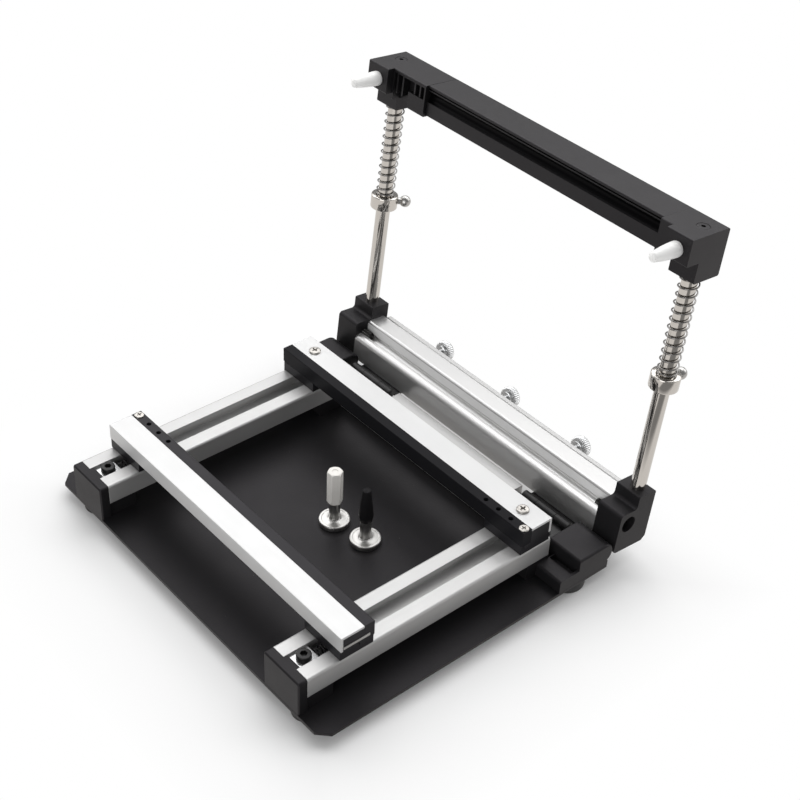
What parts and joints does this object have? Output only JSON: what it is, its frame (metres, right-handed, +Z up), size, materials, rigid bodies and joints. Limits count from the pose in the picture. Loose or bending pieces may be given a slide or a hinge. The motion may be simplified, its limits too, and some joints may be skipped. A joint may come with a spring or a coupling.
{
  "type": "manual stencil printer",
  "caption": "Tabletop solder paste stencil printer: a hinged frame that clamps a stencil over a base with sprung board clamps and magnetic support pillars.",
  "frame": {"origin": "centre of the footprint, on the surface that the rubber feet stand on", "axes": "+X to the right seen from the front, +Y to the rear where the frame is hinged, +Z up"},
  "size_m": [0.1718, 0.1764, 0.1454],
  "materials": {
    "black_steel": "black powder coat or black oxide, satin",
    "rubber": "matt black rubber",
    "black_plastic": "satin black moulded plastic",
    "aluminium": "drawn, clear anodised",
    "black_aluminium": "black anodised extrusion",
    "steel": "bright steel",
    "nickel": "nickel plated",
    "white_nylon": "white nylon"
  },
  "bodies": {
    "base": {"base_plate": "black_steel", "rubber_feet": "rubber", "plate_screws": "black_steel", "rear_crossmember": "aluminium", "hinge_pins": "black_steel", "hinge_base_screws": "black_steel", "rail_left": "aluminium", "rail_right": "aluminium", "front_cap_left": "black_plastic", "front_cap_right": "black_plastic", "corner_block_left": "black_plastic", "corner_block_right": "black_plastic", "hinge_base_leaf_left": "black_steel", "hinge_base_leaf_right": "black_steel", "rear_bar_core": "black_plastic", "rear_bar_cover": "aluminium", "rear_bar_strip": "black_plastic", "rear_strip_screw": "steel", "rear_bar_screws": "steel", "rear_slot_nuts": "steel"},
    "left_stop": {"stop_block_left": "steel", "stop_screw_left": "black_steel", "slot_spring_left": "black_steel"},
    "right_stop": {"stop_block_right": "steel", "stop_screw_right": "black_steel", "slot_spring_right": "black_steel"},
    "board_clamp": {"front_bar_core": "black_plastic", "front_bar_cover": "aluminium", "front_bar_strip": "black_plastic", "front_strip_screw": "steel", "front_bar_band": "steel"},
    "stencil_frame": {"frame_beam": "aluminium", "end_block_screws": "black_steel", "rod_set_screws": "black_steel", "rod_retainers": "black_steel", "hinge_frame_screws": "black_steel", "hinge_frame_leaf_left": "black_steel", "hinge_frame_leaf_right": "black_steel", "end_block_left": "black_plastic", "end_block_right": "black_plastic", "rod_left": "nickel", "rod_right": "nickel"},
    "clamp_strip": {"stencil_clamp_strip": "aluminium"},
    "left_thumb_screw": {"thumb_screw_left": "nickel"},
    "middle_thumb_screw": {"thumb_screw_middle": "nickel"},
    "right_thumb_screw": {"thumb_screw_right": "nickel"},
    "left_collar": {"collar_left": "nickel", "rod_spring_left": "steel"},
    "right_collar": {"collar_right": "nickel", "rod_spring_right": "steel"},
    "left_collar_screw": {"collar_thumb_screw_left": "nickel"},
    "right_collar_screw": {"collar_thumb_screw_right": "nickel"},
    "tension_bar": {"tension_bar": "black_aluminium", "bar_end_left": "black_plastic", "bar_end_right": "black_plastic", "bar_pegs": "white_nylon"},
    "hex_pillar": {"hex_pillar_base": "nickel", "hex_pillar_cap": "white_nylon"},
    "cone_pillar": {"cone_pillar_base": "nickel", "cone_pillar_cap": "black_plastic"}
  },
  "joints": [
    {"name": "frame_hinge", "type": "hinge", "parent": "base", "child": "stencil_frame", "pos_m": [0, 0.04861, 0.0125], "axis": [1, 0, 0], "range_deg": [0, 95.2]},
    {"name": "tension_slide", "type": "slide", "parent": "stencil_frame", "child": "tension_bar", "axis": [0, 0.099, 0.9951], "range_m": [-0.008, 0], "stiffness_N_per_m": 600, "springref_m": 0.01, "deforming": ["rod_spring_left", "rod_spring_right"]},
    {"name": "left_collar_slide", "type": "slide", "parent": "stencil_frame", "child": "left_collar", "axis": [0, 0.099, 0.9951], "range_m": [-0.04, 0]},
    {"name": "right_collar_slide", "type": "slide", "parent": "stencil_frame", "child": "right_collar", "axis": [0, 0.099, 0.9951], "range_m": [-0.04, 0]},
    {"name": "left_collar_screw_turn", "type": "hinge", "parent": "left_collar", "child": "left_collar_screw", "pos_m": [-0.0801, 0.07407, 0.08102], "axis": [0.5592, 0.825, -0.0821], "continuous": true},
    {"name": "right_collar_screw_turn", "type": "hinge", "parent": "right_collar", "child": "right_collar_screw", "pos_m": [0.0801, 0.07407, 0.08102], "axis": [0, 0.9951, -0.099], "continuous": true},
    {"name": "clamp_strip_slide", "type": "slide", "parent": "stencil_frame", "child": "clamp_strip", "axis": [0, 0.9951, -0.099], "range_m": [0, 0.002]},
    {"name": "left_thumb_screw_turn", "type": "hinge", "parent": "stencil_frame", "child": "left_thumb_screw", "pos_m": [-0.04145, 0.07064, 0.02277], "axis": [0, 0.9951, -0.099], "continuous": true},
    {"name": "middle_thumb_screw_turn", "type": "hinge", "parent": "stencil_frame", "child": "middle_thumb_screw", "pos_m": [0, 0.07064, 0.02277], "axis": [0, 0.9951, -0.099], "continuous": true},
    {"name": "right_thumb_screw_turn", "type": "hinge", "parent": "stencil_frame", "child": "right_thumb_screw", "pos_m": [0.04145, 0.07064, 0.02277], "axis": [0, 0.9951, -0.099], "continuous": true},
    {"name": "left_stop_slide", "type": "slide", "parent": "base", "child": "left_stop", "axis": [0, 1, 0], "range_m": [0, 0.034]},
    {"name": "right_stop_slide", "type": "slide", "parent": "base", "child": "right_stop", "axis": [0, 1, 0], "range_m": [0, 0.034]},
    {"name": "board_clamp_slide", "type": "slide", "parent": "left_stop", "child": "board_clamp", "axis": [0, 1, 0], "range_m": [-0.003, 0], "stiffness_N_per_m": 400, "springref_m": 0.002, "deforming": ["slot_spring_left", "slot_spring_right"]},
    {"name": "hex_pillar_lift", "type": "slide", "parent": "base", "child": "hex_pillar", "axis": [0, 0, 1], "range_m": [0, 0.03]},
    {"name": "cone_pillar_lift", "type": "slide", "parent": "base", "child": "cone_pillar", "axis": [0, 0, 1], "range_m": [0, 0.03]}
  ],
  "couplings": [
    {"joint": "right_stop_slide", "follows": "left_stop_slide", "ratio": 1}
  ]
}
